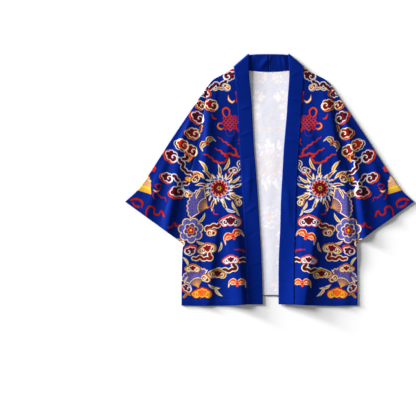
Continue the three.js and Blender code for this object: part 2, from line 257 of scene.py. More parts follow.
def tendril(cloth, points, ink="scarlet", radii=(2.6, 2.8, 1)):
    """A thin flame-like line"""
    line_on(cloth, points, radii, [(0, ink)], wave=1.5, pitch=17)


def bat(cloth, at, size, turn=0, inks=("red", "orange", "cream")):
    """A bat with hooked, scalloped wings"""
    body, wing, rim = inks
    spots = cloth.near(at, 1.25 * size, turn)
    for half in (spots, -spots.conj()):
        arm = curve([0.08 + 0.12j, 0.4 + 0.42j, 0.8 + 0.2j, 0.98 - 0.42j]) * size
        scallops = [np.abs(half - size * complex(x, y)) - size * r
                    for x, y, r in [(0.3, 0.1, 0.2), (0.56, 0.06, 0.17)]]
        cloth.lay(np.min(scallops, axis=0), (0, rim), (0.9, wing))
        cloth.lay(stroke(half, arm, size * np.array([0.14, 0.18, 0.14, 0.02])),
                  (0, rim), (1, wing), (3, body), edge=1)
    for x, y, r in [(0, 0.02, 0.2), (0, 0.26, 0.13), (0, -0.2, 0.12)]:
        cloth.lay(np.abs(spots - size * complex(x, y)) - size * r, (0, wing), (1.8, body))


def leaf(cloth, at, size, turn=0, inks=("cream", "gold")):
    """A slim pointed leaf, bent a little, with its vein"""
    spots = cloth.near(at, 1.2 * size, turn)
    vein = curve([-0.9 - 0.1j, -0.2 + 0.1j, 0.4 + 0.06j, 1 - 0.16j]) * size
    cloth.lay(stroke(spots, vein, size * np.array([0.02, 0.2, 0.17, 0.01])),
              (0, inks[0]), (1.7, inks[1]), edge=1.2)
    cloth.lay(stroke(spots, vein[:-5], [0.5, 0.3]), (0, "wine"))


def rays(spots, count, start, end, width):
    """Distance from a ring of slim pointed rays, in mm"""
    reach = np.array([start, 0.5 * (start + end), 0.2 * start + 0.8 * end, end])
    return stroke(on_one(spots, count), reach + 0j, width * np.array([0.6, 1, 0.9, 0.1]))


def chrysanthemum(cloth, at, size, turn=0):
    """Slim pale rays round rings of red petals and a dark heart"""
    spots = cloth.near(at, 1.15 * size, turn)
    curled = spots * np.exp(0.5j * np.abs(spots) / size)
    cloth.lay(rays(curled, 13, 0.4 * size, size, 0.062 * size), (0, "gold"), (0.9, "cream"),
              edge=1.2)
    cloth.lay(rays(curled * 1j, 17, 0.4 * size, 0.84 * size, 0.06 * size),
              (0, "wine"), (0.8, "white"))
    cloth.lay(petals(curled, 13, 0.56 * size, 0.12 * size), (0, "white"), (0.9, "periwinkle"))
    cloth.lay(petals(curled * 1j, 13, 0.42 * size, 0.11 * size), (0, "cream"), (0.8, "red"))
    cloth.lay(petals(spots, 11, 0.28 * size, 0.1 * size), (0, "red"), (0.8, "maroon"))
    cloth.lay(np.abs(spots) - 0.19 * size, (0, "maroon"))
    cloth.lay(petals(spots, 6, 0.1 * size, 0.03 * size), (0, "yellow"))


def peony(cloth, at, size, turn=0):
    """A full peony, its outer petals filled with waves"""
    spots = cloth.near(at, 1.1 * size, turn)
    outer = petals(spots, 7, 0.62 * size, 0.36 * size)
    outer = np.minimum(outer, np.abs(spots) - 0.62 * size)
    cloth.lay(outer, (0, "orange"), (0.9, "cream"), (2.8, "periwinkle"), edge=1.2)
    cloth.lay(np.maximum(outer + 3.2, wave_rings(spots, 8, 0.25)), (0, "lilac"))
    inner = petals(spots * np.exp(0.4j), 6, 0.34 * size, 0.22 * size)
    cloth.lay(inner, (0, "cream"), (1.8, "wine"), (4.4, "periwinkle"))
    cloth.lay(petals(spots, 5, 0.16 * size, 0.14 * size), (0, "gold"), (1.3, "red"))
    cloth.lay(np.abs(spots) - 0.08 * size, (0, "yellow"))


def fan(cloth, at, size, turn=0, spread=58):
    """An open folding fan with a wave-patterned leaf and a red cord"""
    spots = cloth.near(at, 1.15 * size, turn)
    tail = curve([0, -0.12 + 0.1j, -0.3 + 0.02j, -0.4 - 0.14j, -0.6 - 0.1j]) * size
    cloth.lay(stroke(spots, tail, [1.6, 1.6, 0.8]), (0, "scarlet"))
    angle = np.angle(spots)
    beyond = np.clip(np.abs(angle) - np.radians(spread), -np.pi / 2, np.pi / 2)
    side = np.abs(spots) * np.sin(beyond)
    ray_step = np.radians(2 * spread / 9)
    to_ray = np.abs(spots) * np.abs(np.sin((angle / ray_step - 0.5
                                            - np.round(angle / ray_step - 0.5)) * ray_step))
    sticks = np.maximum(np.maximum(np.abs(spots) - 0.5 * size, side), to_ray - 0.9)
    cloth.lay(sticks, (0, "gold"))
    scallop = 0.025 * size * np.cos(2 * np.pi * angle / ray_step)
    sheet = np.maximum(np.abs(spots) - size + scallop, 0.44 * size - np.abs(spots))
    sheet = np.maximum(sheet, side)
    cloth.lay(sheet, (0, "orange"), (0.9, "cream"), (2.8, "periwinkle"), edge=1.2)
    cloth.lay(np.maximum(sheet + 3.2, wave_rings(spots * 1j, 8.5, 0.25)), (0, "lilac"))
    cloth.lay(np.maximum(sheet + 1, to_ray - 0.4), (0, "wine"))
    cloth.lay(np.abs(spots) - 2.6, (0, "gold"))


def back_print(x, y):
    """Print of the back, laid out as one sees it from behind: clouds and bats round flowers,
    most of them on both halves and a few on one"""
    cloth = Printing(np.abs(x), y)
    stem(cloth, [142 + 284j, 124 + 252j, 102 + 244j, 126 + 230j, 78 + 224j, 42 + 220j], "white")
    cloud(cloth, 40 + 220j, 13, 0, "white", "curl")
    cloud(cloth, 130 + 288j, 34, -8, "red", "wide")
    cloud(cloth, 52 + 306j, 45, 0, "fire", "wide")
    cloud(cloth, 39 + 248j, 26, 0, "white", "wide")
    stem(cloth, [6 + 150j, 26 + 148j, 40 + 158j, 62 + 162j], "gold")
    cloud(cloth, 52 + 190j, 24, 0, "gold", "wide")
    cloud(cloth, 62 + 160j, 14, 0, "gold", "curl")
    tendril(cloth, [188 + 220j, 166 + 208j, 150 + 196j, 128 + 190j, 104 + 170j, 96 + 140j])
    tendril(cloth, [150 + 222j, 132 + 204j, 128 + 190j])
    tendril(cloth, [166 + 150j, 140 + 136j, 112 + 134j, 84 + 118j])
    bat(cloth, 190 + 145j, 22, 40, ("scarlet", "orange", "white"))
    leaf(cloth, 176 + 96j, 24, 30)
    leaf(cloth, 152 + 108j, 22, 70, ("cream", "lilac"))
    fan(cloth, 118 + 6j, 74, 56)
    peony(cloth, 176 - 112j, 44, 0)
    leaf(cloth, 120 - 66j, 26, 210)
    leaf(cloth, 222 - 64j, 26, 40)
    stem(cloth, [246 - 130j, 222 - 142j, 206 - 166j, 206 - 184j], "cream")
    cloud(cloth, 206 - 184j, 22, 0, "fire", "wide")
    cloud(cloth, 184 - 216j, 34, 0, "ember", "wide")
    fan(cloth, 78 - 206j, 62, 116)
    stem(cloth, [214 + 60j, 220 + 34j, 206 + 12j, 214 - 8j], "white")
    cloud(cloth, 206 + 66j, 21, 20, "red")
    cloud(cloth, 222 - 24j, 17, -30, "fire")
    cloud(cloth, 62 - 58j, 25, 0, "gold", "wide")
    stem(cloth, [110 - 122j, 132 - 142j, 126 - 166j, 146 - 180j], "cream")
    cloud(cloth, 106 - 116j, 22, 30, "red")
    cloud(cloth, 40 - 164j, 19, 10, "fire")
    bat(cloth, 150 - 262j, 20, -20)
    leaf(cloth, 30 - 250j, 22, 120)
    leaf(cloth, 196 - 290j, 22, 30, ("cream", "wine"))
    bat(cloth, 240 - 262j, 20, 30, ("orange", "gold", "cream"))
    tendril(cloth, [250 - 300j, 236 - 296j, 238 - 312j, 222 - 318j])
    # In the middle, and on one half only
    cloth.places = (x + 1j * y).ravel()
    chrysanthemum(cloth, 0 + 46j, 80)
    peony(cloth, 0 - 112j, 36)
    bat(cloth, -70 - 284j, 28, -12)
    stem(cloth, [-180 - 320j, -150 - 346j, -110 - 352j, -76 - 342j, -44 - 322j], "gold")
    cloud(cloth, -180 - 318j, 36, 0, "red", "wide")
    cloud(cloth, -42 - 320j, 36, 0, "red", "wide")
    cloud(cloth, -108 - 332j, 26, 0, "gold", "wide")
    stem(cloth, [44 - 296j, 52 - 330j, 84 - 350j, 140 - 356j], "white")
    cloud(cloth, 50 - 292j, 34, 0, "red", "wide")
    cloud(cloth, 128 - 270j, 42, 0, "fire", "wide")
    cloud(cloth, 146 - 326j, 26, 0, "white", "wide")
    return cloth.colours


def quads(grid):
    """Faces of a grid of point numbers"""
    around = (grid[:-1, :-1], grid[1:, :-1], grid[1:, 1:], grid[:-1, 1:])
    return np.stack([corner.ravel() for corner in around], axis=1)


def edge_loop(grid):
    """Point numbers once round a grid"""
    return np.concatenate([grid[0, :-1], grid[:-1, -1], grid[-1, :0:-1], grid[:0:-1, 0]])


def panel_mesh(name, outer, inner, outer_colours, inner_colours):
    """Closed sheet: a fine outer grid and a coarse inner one, joined round their edges"""
    fine = np.arange(outer.shape[0] * outer.shape[1]).reshape(outer.shape[:2])
    coarse = fine.size + np.arange(inner.shape[0] * inner.shape[1]).reshape(inner.shape[:2])
    faces = quads(fine).tolist() + quads(coarse)[:, ::-1].tolist()
    step = (fine.shape[0] - 1) // (coarse.shape[0] - 1)
    fine_loop = np.append(edge_loop(fine), fine[0, 0]).tolist()
    coarse_loop = np.append(edge_loop(coarse), coarse[0, 0]).tolist()
    for k in range(len(coarse_loop) - 1):
        along = fine_loop[k * step:(k + 1) * step + 1]
        faces.append(along + [coarse_loop[k + 1], coarse_loop[k]])
    points = np.concatenate([outer.reshape(-1, 3), inner.reshape(-1, 3)]) / 1000
    colours = np.concatenate([outer_colours, inner_colours])
    return cloth_object(name, points, faces, colours)


def lining(grid):
    """Pale inside of a printed panel, whose cut edge shows the ground colour"""
    colours = np.tile(linear(INKS["inside"]), grid.shape[:2] + (1,))
    for edge in (colours[0], colours[-1], colours[:, 0], colours[:, -1]):
        edge[:] = linear(INKS["ground"])
    return colours.reshape(-1, 3)


def in_scene(name, data):
    """Adds an object to the scene"""
    new = bpy.data.objects.new(name, data)
    bpy.context.scene.collection.objects.link(new)
    return new


def cloth_object(name, points, faces, colours):
    """Object of closed cloth with its colours, its faces turned outwards"""
    mesh = bpy.data.meshes.new(name)
    mesh.from_pydata(points.tolist(), [], faces)
    corners = points[np.array([face[:3] for face in faces])]
    lengths = np.array([len(face) for face in faces])
    sixfold = np.einsum("ij,ij->i", corners[:, 0], np.cross(corners[:, 1], corners[:, 2]))
    if (sixfold * (lengths - 2)).sum() < 0:
        mesh.flip_normals()
    paint = mesh.attributes.new("print", "FLOAT_COLOR", "POINT")
    paint.data.foreach_set("color", np.column_stack([colours, np.ones(len(colours))]).ravel())
    mesh.shade_smooth()
    return in_scene(name, mesh)


def add(tree, kind, settings, inputs):
    """Adds one node with its settings, and its inputs as values or as sockets they come from"""
    new = tree.nodes.new(kind)
    for name, value in settings.items():
        setattr(new, name, value)
    for name, value in inputs.items():
        if isinstance(value, bpy.types.NodeSocket):
            tree.links.new(value, new.inputs[name])
        else:
            new.inputs[name].default_value = value
    return new


# Threads are 0.25 mm apart, and are drawn 1.6 mm apart so that they show. Heights are in metres.
THREADS_PER_METRE = 620
STREAKS_PER_METRE = 90
DENTS_PER_METRE = 34
THREAD_HEIGHT = 0.0003
DENT_HEIGHT = 0.0012
GLOSS_SWING = 0.05


def woven_polyester(name, roughness, sheen):
    """Light woven polyester with a satin face. Its fine threads give a soft, slightly streaked
    gloss along the weft, and it crumples in small shallow dents."""
    material = bpy.data.materials.new(name)
    material.use_nodes = True
    tree = material.node_tree
    shader = tree.nodes["Principled BSDF"]
    place = add(tree, "ShaderNodeTexCoord", {}, {}).outputs["Object"]
    spacing = (STREAKS_PER_METRE, THREADS_PER_METRE, THREADS_PER_METRE)
    threads = add(tree, "ShaderNodeMapping", {}, {"Vector": place, "Scale": spacing})
    weft = add(tree, "ShaderNodeTexNoise", {}, {"Vector": threads.outputs[0], "Scale": 1,
                                                "Detail": 2, "Roughness": 0.6})
    dents = add(tree, "ShaderNodeTexNoise", {}, {"Vector": place, "Scale": DENTS_PER_METRE,
                                                 "Detail": 3, "Roughness": 0.5})
    tone = add(tree, "ShaderNodeMapRange", {}, {"Value": weft.outputs[0], "From Min": 0.3,
                                                "From Max": 0.7, "To Min": 0.95,
                                                "To Max": 1.04})
    inks = add(tree, "ShaderNodeAttribute", {"attribute_name": "print"}, {})
    toned = add(tree, "ShaderNodeVectorMath", {"operation": "SCALE"},
                {"Vector": inks.outputs["Color"], "Scale": tone.outputs[0]})
    gloss = add(tree, "ShaderNodeMapRange", {}, {"Value": dents.outputs[0], "From Min": 0.3,
                                                 "From Max": 0.7,
                                                 "To Min": roughness - GLOSS_SWING,
                                                 "To Max": roughness + GLOSS_SWING})
    weave = add(tree, "ShaderNodeBump", {}, {"Height": weft.outputs[0], "Strength": 0.35,
                                             "Distance": THREAD_HEIGHT})
    relief = add(tree, "ShaderNodeBump", {}, {"Height": dents.outputs[0], "Strength": 0.4,
                                              "Distance": DENT_HEIGHT,
                                              "Normal": weave.outputs[0]})
    tree.links.new(toned.outputs[0], shader.inputs["Base Color"])
    tree.links.new(gloss.outputs[0], shader.inputs["Roughness"])
    tree.links.new(relief.outputs[0], shader.inputs["Normal"])
    shader.inputs["Specular IOR Level"].default_value = 0.14
    shader.inputs["Specular Tint"].default_value = (*linear("#8fb0ff"), 1)
    shader.inputs["Sheen Weight"].default_value = sheen
    shader.inputs["Sheen Roughness"].default_value = 0.35
    shader.inputs["Sheen Tint"].default_value = (*linear("#7f9cff"), 1)
    return material


# Polyester printed on its face after weaving, which leaves it a little duller than plain cloth
printed_polyester = woven_polyester("printed_polyester", 0.45, 0.02)

INSIDE_Z = CLOTH - 0.15
BAND_GAP_HALF = 60
SHOW_THROUGH = 0.26
HEM_SEWING_ROW = -6
HEM_SEWING_ENDS = 8
PALE_THREAD = "#c9cbdc"
THREAD_SIDES = 6
BACK_FOLDS = [  # from x, y, to x, y, left and right width, height of the soft folds
    (-10, 250, 26, -20, 26, 18, 0.4), (24, 150, -16, -180, 20, 14, 0.3),
    (-26, 60, 8, -300, 22, 16, 0.4), (14, -60, 6, -380, 18, 12, 0.4),
    (-34, 320, -20, 120, 16, 12, 0.3),
]


def side_x(y):
    """Outer edge of the body at a height up the garment"""
    return read_table(SIDE_EDGE, y)


def back_grid(rows, columns):
    """Places of the back's points, row by row from shoulder to hem"""
    down = np.linspace(0, 1, rows + 1)[:, None]
    column = np.linspace(-1, 1, columns + 1)[None, :]
    top_x = column * SHOULDER_X
    on_neck = np.abs(top_x - NECK_X) < NECK_HALF + SEAM_GAP
    neckline = NECK_Y + NECK_RISE * ((top_x - NECK_X) / NECK_HALF) ** 2 - SEAM_GAP
    top_y = np.where(on_neck, neckline, read_table(SHOULDER_EDGE, np.abs(top_x)))
    hem_y = HEM_Y + BACK_HEM_RISE * (1 - column ** 2) ** 2
    x = column * side_x(SHOULDER_Y + (HEM_Y - SHOULDER_Y) * down)
    y = top_y + (hem_y - top_y) * down
    return x, y


def sewing(name, lines, colour, pitch=3.6, length=2.6, thread=0.26):
    """Lockstitches along lines on the cloth: slim threads, half sunk into it, one a pitch"""
    turn = np.linspace(0, 2 * np.pi, THREAD_SIDES, endpoint=False)
    around = np.column_stack([0 * turn, np.cos(turn), np.sin(turn)])
    shape = [np.array([[-length / 2, 0, -0.5 * thread]])]
    shape += [around * thread * wide + [along * length, 0, 0]
              for along, wide in [(-0.38, 0.8), (0, 1), (0.38, 0.8)]]
    shape = np.concatenate(shape + [np.array([[length / 2, 0, -0.5 * thread]])])
    ring = np.arange(THREAD_SIDES)
    sides = list(zip(ring, (ring + 1) % THREAD_SIDES))
    last = len(shape) - 1
    faces = [[0, 1 + b, 1 + a] for a, b in sides]
    for start, end in [(1, 1 + THREAD_SIDES), (1 + THREAD_SIDES, last - THREAD_SIDES)]:
        faces += [[start + a, start + b, end + b, end + a] for a, b in sides]
    faces += [[last, last - THREAD_SIDES + a, last - THREAD_SIDES + b] for a, b in sides]
    points = []
    all_faces = []
    for line in lines:
        run = np.append(0, np.linalg.norm(np.diff(line, axis=0), axis=1).cumsum())
        places = np.arange(pitch / 2, run[-1] - pitch / 2, pitch)
        at, ahead = ([np.interp(places + step, run, line[:, k]) for k in range(3)]
                     for step in (0, 0.5))
        for spot, forward in zip(np.transpose(at), np.transpose(ahead) - np.transpose(at)):
            forward = forward / np.linalg.norm(forward)
            sideways = np.cross([0, 0, 1], forward)
            sideways = sideways / np.linalg.norm(sideways)
            axes = np.array([forward, sideways, np.cross(forward, sideways)])
            all_faces += [[len(points) * len(shape) + k for k in face] for face in faces]
            points.append(shape @ axes + spot)
    points = np.concatenate(points)
    threads = cloth_object(name, points / 1000, all_faces,
                           np.tile(linear(colour), (len(points), 1)))
    threads.data.materials.append(spun_thread)
    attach(threads, "root")
    return threads


# Spun polyester sewing thread, a little glossier than the cloth; its twist shows as fine ribs
spun_thread = woven_polyester("spun_polyester_thread", 0.35, 0.05)

x, y = back_grid(BACK_ROWS, BACK_COLUMNS)
outer = np.stack([x, y, np.zeros_like(x)], axis=2)
outer_colours = back_print(-x, y)
x, y = back_grid(BACK_ROWS // 2, BACK_COLUMNS // 2)
between_bands = ease(BAND_GAP_HALF, BAND_GAP_HALF - 20, np.abs(x))
inner_z = INSIDE_Z + folds_height(BACK_FOLDS, x, y) * between_bands
inner = np.stack([x, y, inner_z], axis=2)
seen_through = back_print(-x, y) - linear(INKS["ground"])
inner_colours = np.clip(linear(INKS["inside"]) + SHOW_THROUGH * seen_through, 0, 1)
inner_colours[-x.shape[1]:] = linear(INKS["ground"])
back = panel_mesh("back_panel", outer, inner, outer_colours, inner_colours)
back.data.materials.append(printed_polyester)
back_hem = sewing("back_hem_stitches",
                  [inner[HEM_SEWING_ROW, HEM_SEWING_ENDS:-HEM_SEWING_ENDS]], PALE_THREAD)
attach(back, "root")
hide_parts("back")

# Sleeves: each is one sheet of the printed cloth, folded along its top and sewn to the body
# round the armhole. The lower layer lies on the floor, and the underarm edge is tucked in
# between back and front, so that front and sleeve look creased together at the seam.
ARMHOLE_TOP_Y = 276
CUFF_TUCK_X = 240
CUFF_TUCK_Y = -206
SLEEVE_FOLD = 1.8
SEAM_LINE = 0.08
SEAM_SLACK = 0.4
OPEN_SLACK = 0.9
FOLD_SLACK = 2 * SLEEVE_FOLD - 2 * CLOTH
SLEEVE_ROWS = 300
LOWER_POINTS = 73
FOLD_POINTS = 8
UPPER_POINTS = 148
CUFF_SEWING_ROW = -9
THREAD = "#0a3096"
SEAM_DITCH = 0.9
DITCH_WIDTH = 3.5
TUCK_Y = (-22, -130)  # where the underarm edge starts to turn in, and where it is all in
ON_BACK_Y = (20, -20)  # where that edge leaves the floor, and where it lies on the back
TUCK_LEAST = 4
RAMP = 12  # over which the sleeve comes down from the back to the floor
MOST_OF_WIDTH = 0.3
PARTS_OVER = 30  # over which the two layers part from the seam
MEETS_OVER = 25  # over which they meet again at the top fold
SLEEVE_TOP = [  # share of the way to the cuff, x and y of the top fold
    (0, 185.4, 281.6), (0.17, 222, 228), (0.47, 295.5, 119), (0.6, 325.5, 72),
    (0.77, 364.5, 12), (0.9, 397, -33), (1, 433, -66),
]
SLEEVE_FOLDS = [
    (222, 240, 312, -336, 24, 18, 8.6), (214, 262, 246, 60, 10, 9, 2.4),
    (296, 100, 378, -170, 26, 15, 4.4),
    (-260, 130, -334, -310, 18, 15, 8), (-218, 256, -284, 52, 15, 10, 5),
    (-310, 80, -380, -150, 22, 13, 4),
]
SLEEVE_CREASES = [
    (232, 150, 262, 20, 7, 5, 0.9), (250, 60, 300, -110, 8, 6, 1.1),
    (276, 130, 300, 20, 7, 5, -0.7), (300, 70, 352, -60, 9, 6, 0.9),
    (330, 60, 372, -90, 8, 6, -0.6), (262, -40, 288, -170, 7, 5, -0.9),
    (286, -20, 330, -140, 7, 5, -0.8), (376, -20, 410, -90, 7, 5, 0.6),
    (-232, 156, -258, 30, 7, 5, 0.8), (-252, 50, -296, -120, 8, 6, 1.1),
    (-276, 140, -304, 24, 8, 5, -0.6), (-304, 60, -350, -70, 8, 6, 0.9),
    (-336, 50, -374, -84, 9, 6, -0.6), (-266, -30, -290, -172, 7, 5, -0.8),
    (-290, -26, -328, -132, 7, 5, -0.7), (-380, -24, -408, -84, 7, 5, 0.5),
]


def front_print(x, y):
    """Print of a front and its sleeve, as on the right-hand side: clouds, a knot, bats and
    flame lines, with flowers and fans among them"""
    cloth = Printing(x, y)
    # Shoulder
    stem(cloth, [122 + 302j, 137 + 291j, 149 + 279j, 164 + 287j, 176 + 273j, 192 + 276j],
         "white")
    stem(cloth, [126 + 276j, 146 + 273j, 168 + 271j], "fire", (4.4, 3))
    cloud(cloth, 127 + 277j, 13, 10, "white", "curl")
    cloud(cloth, 122 + 311j, 19, 150, "red")
    cloud(cloth, 108 + 336j, 8, 0, "ember", "curl")
    cloud(cloth, 197 + 260j, 16, 200, "red")
    line_on(cloth, [124 + 254j, 122 + 240j, 112 + 232j, 103 + 238j], (0.6, 3.2, 3.4, 0.6),
            [(0, "orange"), (1.2, "cream")])
    line_on(cloth, [101 + 262j, 98 + 248j, 97 + 234j], (2.4, 1.8, 3.4), [(0, "scarlet")])
    cloud(cloth, 172 + 223j, 20, 12, "fire")
    cloud(cloth, 206 + 223j, 15, 24, "gold")
    # Endless knot with its ribbons
    spots = cloth.near(118.5 + 171j, 38, 42)
    lines = np.minimum(np.abs(spots.real - 8.6 * np.round(spots.real / 8.6)),
                       np.abs(spots.imag - 8.6 * np.round(spots.imag / 8.6))) - 1.55
    square = np.maximum(np.abs(spots.real), np.abs(spots.imag)) - 18.6
    cloth.lay(np.maximum(square, lines), (0, "scarlet"), edge=0.8)
    for turn in (0, 90, 180, 270):
        ring = np.abs(np.abs(spots - 21 * np.exp(1j * np.radians(turn))) - 4.6) - 1.4
        cloth.lay(ring, (0, "red"))
    line_on(cloth, [122 + 190j, 120 + 206j, 130 + 215j, 140 + 208j, 138 + 194j, 130 + 186j],
            (2, 2.6, 2), [(0, "scarlet"), (1.7, "orange")])
    line_on(cloth, [140 + 168j, 152 + 168j, 155 + 158j, 146 + 151j, 138 + 154j],
            (1.2, 2.8, 3.2, 1.2), [(0, "scarlet"), (1.5, "gold")])
    line_on(cloth, [100 + 164j, 99 + 154j, 92 + 144j], (1.4, 2.6, 3.2), [(0, "red")])
    line_on(cloth, [174 + 196j, 168 + 184j, 160 + 182j], (0.6, 2.6, 1.2), [(0, "scarlet")])
    line_on(cloth, [98 + 190j, 96 + 178j, 104 + 172j], (1, 1.6, 1), [(0, "red")])
    ring = np.abs(np.abs(cloth.near(118 + 143j, 20)) - 13) - 0.8
    cloth.lay(ring, (0, "faint"))
    # Flame lines
    tendril(cloth, [154 + 129j, 142 + 118j, 130 + 110j, 121 + 104j, 107 + 93j, 99 + 83j,
                    98 + 72j, 88 + 70j], radii=(0.6, 1.8, 2.2, 2.4))
    tendril(cloth, [98 + 71j, 123 + 78j, 134 + 75j, 148 + 86j, 164 + 93j])
    tendril(cloth, [134 + 75j, 126 + 62j, 140 + 50j, 160 + 53j, 175 + 65j, 184 + 72j,
                    198 + 77j])
    tendril(cloth, [92 + 123j, 91 + 112j, 95 + 106j], radii=(1, 1.6, 0.6))
    # Bat at the armhole
    bat(cloth, 187 + 108j, 25, -38, ("wine", "bronze", "cream"))
    # Clouds down the sleeve
    stem(cloth, [203 + 160j, 207 + 148j, 222 + 146j], "gold", (3.6, 3.6))
    cloud(cloth, 214 + 185j, 21, 30, "red")
    cloud(cloth, 227 + 138j, 20, 10, "fire")
    stem(cloth, [244 + 80j, 252 + 62j, 270 + 60j, 290 + 68j], "white")
    stem(cloth, [270 + 60j, 260 + 46j, 257 + 30j, 240 + 20j, 228 + 14j], "white")
    line_on(cloth, [242 + 76j, 237 + 66j, 244 + 54j], (3, 5.4, 2),
            [(0, "gold"), (2.2, "orange")])
    cloud(cloth, 233 + 86j, 20, 24, "fire")
    cloud(cloth, 259 + 103j, 20, 22, "white")
    cloud(cloth, 292 + 69j, 21, 30, "red")
    stem(cloth, [302 + 6j, 282 + 8j, 271 - 10j, 252 - 13j, 243 - 2j], "white")
    stem(cloth, [268 - 12j, 266 - 26j, 246 - 42j], "white")
    cloud(cloth, 242 + 1j, 10, 0, "ember", "curl")
    cloud(cloth, 305 + 5j, 18, 20, "red")
    cloud(cloth, 274 - 37j, 22, -10, "red")
    cloud(cloth, 246 - 44j, 14, 180, "white", "curl")
    # Lantern with its tuft, and ribbons round it
    bloom = cloth.near(351 + 34j, 16)
    cloth.lay(petals(bloom, 6, 7, 4.2), (0, "scarlet"))
    lamp = cloth.near(370 - 14j, 40, 17)
    cone = np.maximum(np.abs(lamp.real) - 17 + 0.42 * (lamp.imag + 6), np.abs(lamp.imag) - 25)
    cloth.lay(cone, (0, "wine"), (1, "yellow"))
    cloth.lay(np.maximum(cone + 1, np.abs(lamp.imag + 20) - 2.4), (0, "gold"))
    cloth.lay(np.maximum(cone + 1, np.abs(lamp.imag + 14.6) - 0.6), (0, "bronze"))
    frill = np.abs(lamp.imag - 2 - 2 * np.cos(lamp.real / 2)) - 5.4
    cloth.lay(np.maximum(cone - 1.6, frill), (0, "wine"), (0.8, "pink"))
    for along, up in [(-8, 12), (0, 15), (7, 11), (1, 22)]:
        swirl = np.abs(lamp - complex(along, up))
        cloth.lay(swirl - 4.6, (0, "bronze"), (0.9, "cream"), (3, "orange"))
    tuft = curve([0 + 26j, 4 + 34j, -2 + 40j])
    cloth.lay(stroke(lamp, tuft, [2.5, 4, 1]), (0, "scarlet"))
    tendril(cloth, [324 - 18j, 334 - 12j, 342 - 20j, 336 - 28j, 326 - 26j], "red",
            (1.2, 1.5, 1.2))
    line_on(cloth, [331 - 33j, 339 - 36j, 348 - 31j], (1.5, 3.4, 1.5),
            [(0, "scarlet"), (1.3, "cream")])
    tendril(cloth, [336 - 40j, 328 - 52j, 316 - 54j, 308 - 64j], "red", (1.5, 1.4, 0.8))
    tendril(cloth, [346 - 38j, 350 - 50j, 342 - 58j], "red", (1.4, 1.4, 0.8))
    line_on(cloth, [317 - 110j, 324 - 94j, 334 - 106j, 346 - 101j, 346 - 86j, 358 - 80j,
                    368 - 90j, 371 - 110j], (2.8, 2.4, 3, 2.4), [(0, "wine"), (0.7, "red")])
    line_on(cloth, [384 - 84j, 381 - 70j, 390 - 61j, 404 - 58j, 416 - 62j], (2, 4, 3),
            [(0, "wine"), (0.8, "red")])
    line_on(cloth, [392 - 82j, 404 - 78j, 410 - 70j], (3.2, 2.2), [(0, "red")])
    tendril(cloth, [256 - 124j, 268 - 136j, 278 - 139j, 285 - 132j, 296 - 144j, 303 - 143j],
            "red", (1.4, 2.4, 2.2))
    cloud(cloth, 268 - 190j, 15, 0, "fire")
    # Inner edge of the front, top to hem
    stem(cloth, [88 + 54j, 94 + 44j, 88 + 34j, 100 + 26j], "white", (4.4, 4))
    cloud(cloth, 107 + 28j, 15, -30, "red", "curl")
    ring = np.abs(np.abs(cloth.near(90 + 2j, 12)) - 6.4) - 1.1
    cloth.lay(ring, (0, "lilac"))
    # Flowers and fans
    for at, size, turn in [(104 - 2j, 20, 150), (100 - 48j, 20, 205), (196 + 36j, 26, 62),
                           (210 + 14j, 24, 34), (128 + 44j, 22, 118), (106 - 80j, 18, 240)]:
        leaf(cloth, at, size, turn)
    for turn in range(10, 370, 40):
        leaf(cloth, 151 - 26j + 50 * np.exp(1j * np.radians(turn)), 23, turn, ("cream", "wine"))
    fan(cloth, 186 - 84j, 62, 24)
    chrysanthemum(cloth, 151 - 26j, 50, 4)
    leaf(cloth, 118 - 92j, 20, 200, ("white", "lilac"))
    cloud(cloth, 222 + 2j, 13, 120, "fire")
    cloud(cloth, 92 - 68j, 13, 40, "gold", "curl")
    leaf(cloth, 214 - 42j, 18, 300, ("cream", "red"))
    leaf(cloth, 96 - 98j, 13, 250, ("cream", "wine"))
    stem(cloth, [142 - 132j, 158 - 138j, 174 - 140j, 189 - 148j, 184 - 160j], "fire")
    cloud(cloth, 117 - 127j, 33, 0, "red", "wide")
    cloud(cloth, 177 - 160j, 15, 160, "gold", "curl")
    bat(cloth, 109 - 171j, 31, -24)
    tendril(cloth, [77 - 216j, 88 - 209j, 97 - 211j, 106 - 207j], "red", (2.6, 2, 0.6))
    peony(cloth, 236 - 152j, 40, 10)
    leaf(cloth, 204 - 118j, 20, 130)
    leaf(cloth, 206 - 190j, 18, 200, ("cream", "orange"))
    stem(cloth, [74 - 241j, 92 - 240j, 108 - 244j], "cream")
    stem(cloth, [108 - 250j, 104 - 266j, 124 - 272j, 146 - 270j, 164 - 276j], "cream")
    cloud(cloth, 116 - 242j, 24, -6, "red", "wide")
    cloud(cloth, 156 - 284j, 26, 4, "cream", "wide")
    cloud(cloth, 186 - 209j, 28, -12, "gold", "wide")
    stem(cloth, [180 - 222j, 176 - 234j, 192 - 238j, 208 - 234j, 228 - 238j], "fire")
    fan(cloth, 214 - 322j, 58, 70, 50)
    cloud(cloth, 230 - 268j, 22, 0, "fire", "wide")
    cloud(cloth, 194 - 296j, 14, 190, "fire", "curl")
    leaf(cloth, 250 - 246j, 18, 60, ("cream", "yellow"))
    cloud(cloth, 240 - 214j, 17, 150, "red")
    leaf(cloth, 148 - 204j, 17, 110, ("cream", "wine"))
    cloud(cloth, 246 - 326j, 15, 20, "red")
    leaf(cloth, 168 - 322j, 20, 200)
    leaf(cloth, 156 - 336j, 20, 232)
    leaf(cloth, 250 - 300j, 14, 300, ("cream", "red"))
    bat(cloth, 97 - 312j, 27, 0)
    stem(cloth, [222 - 344j, 240 - 342j, 258 - 350j], "gold", (3.4, 3))
    cloud(cloth, 202 - 343j, 31, 0, "ember", "wide")
    return cloth.colours


